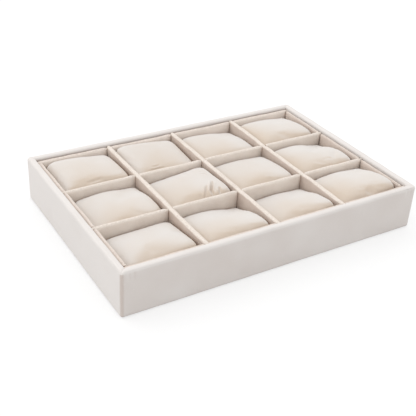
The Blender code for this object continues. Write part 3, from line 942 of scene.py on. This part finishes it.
def lower_ring(low, high, number):
    """A ring of points of a cover between its foot and its waist."""
    turn = math.pi / 2 * number / LOWER_RINGS
    reach = FOOT_SHARE + (1 - FOOT_SHARE) * math.sin(turn) ** (2 / LOWER_FULLNESS)
    waist = low.z + WAIST_HEIGHT
    level = waist - (waist - low.z) * max(math.cos(turn), 0.0) ** (2 / LOWER_FULLNESS)
    half_length, half_width = (high.x - low.x) / 2, (high.y - low.y) / 2
    centre_x, centre_y = (low.x + high.x) / 2, (low.y + high.y) / 2
    power = WAIST_SQUARENESS
    ring = []
    for dx, dy in square_directions(POINTS_PER_SIDE):
        scale = reach * (abs(dx) ** power + abs(dy) ** power) ** (-1 / power)
        ring.append(Vector((centre_x + half_length * dx * scale, centre_y + half_width * dy * scale, level)))
    return ring


def shoulder_place(stuffing, rise, turn, dx, dy):
    """Where the shoulder of a cover is in one direction, in shares of its half sides."""
    share_x, share_y = 0.5 + 0.5 * dx, 0.5 + 0.5 * dy
    left = between(FULLNESS_LEFT, FULLNESS_LEFT_BACK, share_y**2)
    front = between(FULLNESS_FRONT, FULLNESS_FRONT_RIGHT, share_x**3)
    fullness_x = between(left, FULLNESS_RIGHT, share_x)
    fullness_y = between(front, FULLNESS_BACK, share_y)
    squareness = between(WAIST_SQUARENESS, stuffing.squareness, rise**4)
    scale = (abs(dx) ** squareness + abs(dy) ** squareness) ** (-1 / squareness)
    x = dx * scale * math.cos(turn) ** (2 / fullness_x)
    y = dy * scale * math.cos(turn) ** (2 / fullness_y)
    return x, y


def upper_ring(stuffing, low, high, number):
    """A ring of points of a cover between its waist and its crown."""
    turn = math.pi / 2 * number / (UPPER_RINGS + 1)
    rise = math.sin(turn) ** (2 / LOWER_FULLNESS)
    waist = low.z + WAIST_HEIGHT
    crown = stuffing.crown - FILLING_RISE
    half_length, half_width = (high.x - low.x) / 2, (high.y - low.y) / 2
    centre_x, centre_y = (low.x + high.x) / 2, (low.y + high.y) / 2
    ring = []
    for dx, dy in square_directions(POINTS_PER_SIDE):
        x, y = shoulder_place(stuffing, rise, turn, dx, dy)
        height = crown - waist + stuffing.rise_right * x + stuffing.rise_back * y
        height -= stuffing.dent * math.exp(-((math.hypot(x - DENT_X, y - DENT_Y) / DENT_REACH) ** 2))
        ring.append(Vector((centre_x + half_length * x, centre_y + half_width * y, waist + height * rise)))
    return ring


def pillow_surface(stuffing, low, high):
    """Rings of points of a filled cover, from its foot to its crown, and the crown's own point."""
    rings = [lower_ring(low, high, number) for number in range(LOWER_RINGS + 1)]
    rings += [upper_ring(stuffing, low, high, number) for number in range(1, UPPER_RINGS + 1)]
    crown = Vector(((low.x + high.x) / 2, (low.y + high.y) / 2, stuffing.crown - FILLING_RISE))
    return rings, crown


def make_cover(name, node, stuffing):
    """The cut cover of a pillow, closed and ready to be filled."""
    low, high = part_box(node)
    rings, crown = pillow_surface(stuffing, low, high)
    shape = bmesh.new()
    made = [[shape.verts.new(point) for point in ring] for ring in rings]
    bridge_rings(shape, made)
    shape.faces.new(list(reversed(made[0])))
    top = shape.verts.new(crown)
    last = made[-1]
    for index in range(len(last)):
        shape.faces.new((last[index], last[(index + 1) % len(last)], top))
    return finish_mesh(name, shape)


def apply_modifiers(piece):
    """Keep a piece's modified mesh as its own."""
    evaluated = piece.evaluated_get(bpy.context.evaluated_depsgraph_get())
    mesh = bpy.data.meshes.new_from_object(evaluated)
    piece.modifiers.clear()
    old = piece.data
    piece.data = mesh
    bpy.data.meshes.remove(old)


def fill_pillows(covers):
    """Blow every cover up a little with cloth simulation, all at once, and keep what it settles to."""
    rests = {}
    for piece in covers:
        remesh = piece.modifiers.new("remesh", "REMESH")
        remesh.mode = "VOXEL"
        remesh.voxel_size = VOXEL
        apply_modifiers(piece)
        rests[piece.name] = [vertex.co.copy() for vertex in piece.data.vertices]
        cloth = piece.modifiers.new("filling", "CLOTH")
        cloth.settings.quality = CLOTH_QUALITY
        cloth.settings.use_pressure = True
        cloth.settings.uniform_pressure_force = PRESSURE
        cloth.settings.effector_weights.gravity = 0.0
        cloth.point_cache.frame_start = 1
        cloth.point_cache.frame_end = SIM_FRAMES
    scene = bpy.context.scene
    for step in range(1, SIM_FRAMES + 1):
        scene.frame_set(step)
    settled = {}
    depsgraph = bpy.context.evaluated_depsgraph_get()
    for piece in covers:
        evaluated = piece.evaluated_get(depsgraph)
        settled[piece.name] = [vertex.co.copy() for vertex in evaluated.data.vertices]
    for piece in covers:
        piece.modifiers.clear()
        for vertex, rest, moved in zip(piece.data.vertices, rests[piece.name], settled[piece.name]):
            move = moved - rest
            if move.length > MOST_MOVE:
                move *= MOST_MOVE / move.length
            vertex.co = rest + move
    scene.frame_set(1)


def smooth_cover(piece, levels):
    """Subdivide a cover and keep the result."""
    surface = piece.modifiers.new("surface", "SUBSURF")
    surface.levels = levels
    surface.render_levels = levels
    apply_modifiers(piece)
    piece.data.shade_smooth()


def hold_in_cell(piece, low, high):
    """Flatten a pillow where it presses on its cell's walls or the floor."""
    for vertex in piece.data.vertices:
        co = vertex.co
        co.x = min(max(co.x, low.x), high.x)
        co.y = min(max(co.y, low.y), high.y)
        co.z = max(co.z, low.z)


def nearest_on_run(x, y, run):
    """Distance from a point to a run of straight lines, and the share along it of the nearest place."""
    stretches = list(zip(run, run[1:]))
    whole = sum(math.dist(first, second) for first, second in stretches)
    best, best_share, passed = math.inf, 0.0, 0.0
    for first, second in stretches:
        length = math.dist(first, second)
        run_x, run_y = second[0] - first[0], second[1] - first[1]
        along = ((x - first[0]) * run_x + (y - first[1]) * run_y) / length**2
        along = min(max(along, 0.0), 1.0)
        nearest = (between(first[0], second[0], along), between(first[1], second[1], along))
        away = math.dist((x, y), nearest)
        if away < best:
            best, best_share = away, (passed + along * length) / whole
        passed += length
    return best, best_share


def press_creases(piece, creases):
    """Press creases into a pillow's top, with the cloth puffed up a little beside each."""
    moves = {}
    for vertex in piece.data.vertices:
        if vertex.normal.z < CREASE_LEAST_UP:
            continue
        for crease in creases:
            away, share = nearest_on_run(vertex.co.x, vertex.co.y, crease.run)
            if away > CREASE_SPAN * crease.width:
                continue
            fade = math.sin(math.pi * share) ** 0.5
            sunk = math.exp(-((away / crease.width) ** 2))
            puffed = CREASE_PUFF * math.exp(-(((away - 2 * crease.width) / crease.width) ** 2))
            move = vertex.normal * crease.depth * fade * (puffed - sunk)
            moves[vertex.index] = moves.get(vertex.index, Vector()) + move
    for index, move in moves.items():
        piece.data.vertices[index].co += move


def make_pillows():
    """One stuffed pillow in each cell."""
    covers = []
    for (row, column), stuffing in STUFFINGS.items():
        covers.append(make_cover(f"cushion_{row}_{column}", f"pillow_{row}_{column}", stuffing))
    fill_pillows(covers)
    for (row, column), piece in zip(STUFFINGS, covers):
        node = f"pillow_{row}_{column}"
        creases = CREASES.get((row, column), ())
        # Painted light: column 1 and the second back pillow take the copy lit from the left, column 4 the copy
        # lit most from the right, the rest the copy lit from the back right
        velvet = PILLOW_VELVET_LIT_MOST_FROM_RIGHT if column == 4 else PILLOW_VELVET
        if column == 1 or (row, column) == ("back", 2):
            velvet = PILLOW_VELVET_LIT_FROM_LEFT
        smooth_cover(piece, CREASED_LEVELS if creases else PLAIN_LEVELS)
        press_creases(piece, creases)
        hold_in_cell(piece, *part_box(node))
        place_piece(piece, [node], velvet)


def dress_frame_nodes():
    """Give the hard pieces that stay as they are their own finishes."""
    finishes = {"fibreboard": FIBREBOARD, "base_paper": BACKING, "lining_velvet": LINING_VELVET}
    slots = {entry["node"]: entry["material_slot"] for entry in frame["record"]["subparts"]}
    staying = (
        "base_cover", "base_board", "front_board", "back_board", "left_board", "right_board", "floor_lining",
    )
    for name in staying:
        node = frame["nodes"][name]
        for slot_number in range(len(node.material_slots)):
            node.material_slots[slot_number].material = finishes[slots[name]]


# Stage, light and camera

def make_floor():
    """A pale floor that shows white to the camera and keeps the tray's soft shadow."""
    shape = bmesh.new()
    bmesh.ops.create_grid(shape, x_segments=1, y_segments=1, size=FLOOR_HALF_SIZE)
    floor = finish_mesh("floor", shape, smooth=False)
    material = bpy.data.materials.new("pale_floor")
    material.use_nodes = True
    tree = material.node_tree
    tree.nodes.clear()
    seen = tree.nodes.new("ShaderNodeLightPath").outputs["Is Camera Ray"]
    diffuse = tree.nodes.new("ShaderNodeBsdfDiffuse")
    tree.links.new(mix_colours(tree, seen, FLOOR_SHADE, FLOOR_SEEN_SHADE), diffuse.inputs["Color"])
    glow = tree.nodes.new("ShaderNodeEmission")
    glow.inputs["Color"].default_value = WHITE
    tree.links.new(math_node(tree, "MULTIPLY", seen, FLOOR_GLOW), glow.inputs["Strength"])
    both = tree.nodes.new("ShaderNodeAddShader")
    tree.links.new(diffuse.outputs[0], both.inputs[0])
    tree.links.new(glow.outputs[0], both.inputs[1])
    leave = tree.nodes.new("ShaderNodeOutputMaterial")
    tree.links.new(both.outputs[0], leave.inputs["Surface"])
    floor.data.materials.append(material)


def make_world():
    """A white room that is a little brighter from the window's side, plain white to the camera."""
    world = bpy.data.worlds.new("room")
    bpy.context.scene.world = world
    world.use_nodes = True
    tree = world.node_tree
    background = tree.nodes["Background"]
    direction = tree.nodes.new("ShaderNodeTexCoord").outputs["Generated"]
    toward = tree.nodes.new("ShaderNodeVectorMath")
    toward.operation = "DOT_PRODUCT"
    toward.inputs[1].default_value = Vector(WINDOW_SIDE).normalized()
    tree.links.new(direction, toward.inputs[0])
    light = math_node(tree, "MULTIPLY_ADD", toward.outputs["Value"], ROOM_GRADIENT, addend=ROOM_LIGHT)
    seen = tree.nodes.new("ShaderNodeLightPath").outputs["Is Camera Ray"]
    hidden = math_node(tree, "SUBTRACT", 1.0, seen)
    strength = math_node(tree, "ADD", math_node(tree, "MULTIPLY", light, hidden), seen)
    background.inputs["Color"].default_value = WHITE
    tree.links.new(strength, background.inputs["Strength"])


def make_window_light():
    """A square soft lamp that stands for the window and faces the tray."""
    data = bpy.data.lights.new("window", "AREA")
    data.size = WINDOW_SIZE
    data.energy = WINDOW_POWER
    lamp = bpy.data.objects.new("window", data)
    bpy.context.scene.collection.objects.link(lamp)
    lamp.location = WINDOW_PLACE
    lamp.rotation_euler = Vector(WINDOW_PLACE).to_track_quat("Z", "Y").to_euler()


def make_camera():
    """The camera that took the photograph: its place, its roll and its focal length."""
    angles = (CAMERA_AZIMUTH, CAMERA_ELEVATION, CAMERA_ROLL)
    azimuth, elevation, roll = (math.radians(value) for value in angles)
    level_share = math.cos(elevation)
    back = Vector((math.sin(azimuth) * level_share, -math.cos(azimuth) * level_share, math.sin(elevation)))
    level_right = Vector((0.0, 0.0, 1.0)).cross(back).normalized()
    level_up = back.cross(level_right)
    right = level_right * math.cos(roll) + level_up * math.sin(roll)
    up = level_up * math.cos(roll) - level_right * math.sin(roll)
    data = bpy.data.cameras.new("camera")
    data.sensor_width = SENSOR_WIDTH
    data.sensor_fit = "HORIZONTAL"
    data.lens = SENSOR_WIDTH * FOCAL_PIXELS / PHOTO_SIDE
    camera = bpy.data.objects.new("camera", data)
    bpy.context.scene.collection.objects.link(camera)
    axes = Matrix((right, up, back)).transposed().to_4x4()
    camera.matrix_world = Matrix.Translation(Vector(CAMERA_TARGET) + back * CAMERA_DISTANCE) @ axes
    bpy.context.scene.camera = camera


make_wrap()
make_liners()
make_dividers()
make_pillows()
dress_frame_nodes()
make_floor()
make_world()
make_window_light()
make_camera()
bpy.context.scene.view_settings.view_transform = "Standard"
